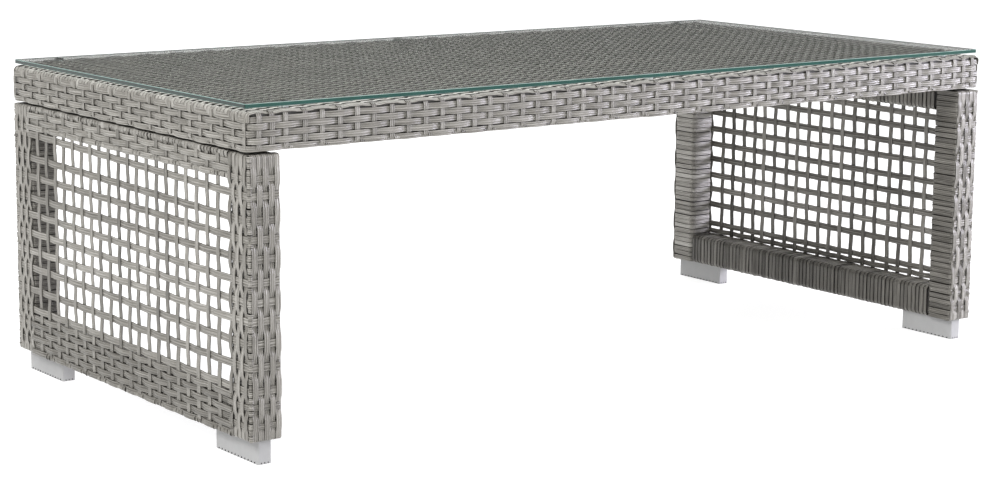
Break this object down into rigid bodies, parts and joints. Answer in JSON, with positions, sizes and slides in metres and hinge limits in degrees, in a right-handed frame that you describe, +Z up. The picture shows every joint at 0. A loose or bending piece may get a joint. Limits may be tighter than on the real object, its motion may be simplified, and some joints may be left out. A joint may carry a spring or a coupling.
{
  "type": "wicker coffee table",
  "caption": "Low rectangular garden coffee table: grey resin wicker woven over a tube frame, lattice end panels, short block feet and a loose clear glass top.",
  "frame": {"origin": "centre of the table's footprint, on the floor", "axes": "+X along the length, +Y from the front to the back across the width, +Z up"},
  "size_m": [1.2, 0.6, 0.415],
  "materials": {
    "wicker": "warm grey flat resin strand, fine lengthwise streaks, low sheen",
    "glass": "clear, polished, green at the edges",
    "bumper": "clear soft PVC",
    "frame_paint": "dark grey powder coat on aluminium tube",
    "foot_plastic": "light grey moulded plastic, fine matt",
    "fastener_steel": "zinc plated",
    "spacer_plastic": "black nylon"
  },
  "bodies": {
    "table": {"apron_weave_back": "wicker", "apron_weave_front": "wicker", "apron_weave_left": "wicker", "apron_weave_right": "wicker", "cross_bar_1": "frame_paint", "cross_bar_2": "frame_paint", "cross_bar_3": "frame_paint", "deck_weave": "wicker", "foot_screws": "fastener_steel", "glass_bumpers": "bumper", "left_back_foot": "foot_plastic", "left_back_post_tube": "frame_paint", "left_back_post_weave": "wicker", "left_bottom_rail_tube": "frame_paint", "left_bottom_rail_weave": "wicker", "left_front_foot": "foot_plastic", "left_front_post_tube": "frame_paint", "left_front_post_weave": "wicker", "left_lattice_rows": "wicker", "left_lattice_stakes": "wicker", "left_top_rail_tube": "frame_paint", "left_top_rail_weave": "wicker", "leg_bolt_washers": "fastener_steel", "leg_bolts": "fastener_steel", "leg_spacers": "spacer_plastic", "right_back_foot": "foot_plastic", "right_back_post_tube": "frame_paint", "right_back_post_weave": "wicker", "right_bottom_rail_tube": "frame_paint", "right_bottom_rail_weave": "wicker", "right_front_foot": "foot_plastic", "right_front_post_tube": "frame_paint", "right_front_post_weave": "wicker", "right_lattice_rows": "wicker", "right_lattice_stakes": "wicker", "right_top_rail_tube": "frame_paint", "right_top_rail_weave": "wicker", "rivet_nuts": "fastener_steel", "top_tube_back": "frame_paint", "top_tube_front": "frame_paint", "top_tube_left": "frame_paint", "top_tube_right": "frame_paint"},
    "glass": {"glass_top": "glass"}
  },
  "joints": [
    {"name": "glass_lift", "type": "slide", "parent": "table", "child": "glass", "axis": [0, 0, 1], "range_m": [0, 0.12]}
  ]
}
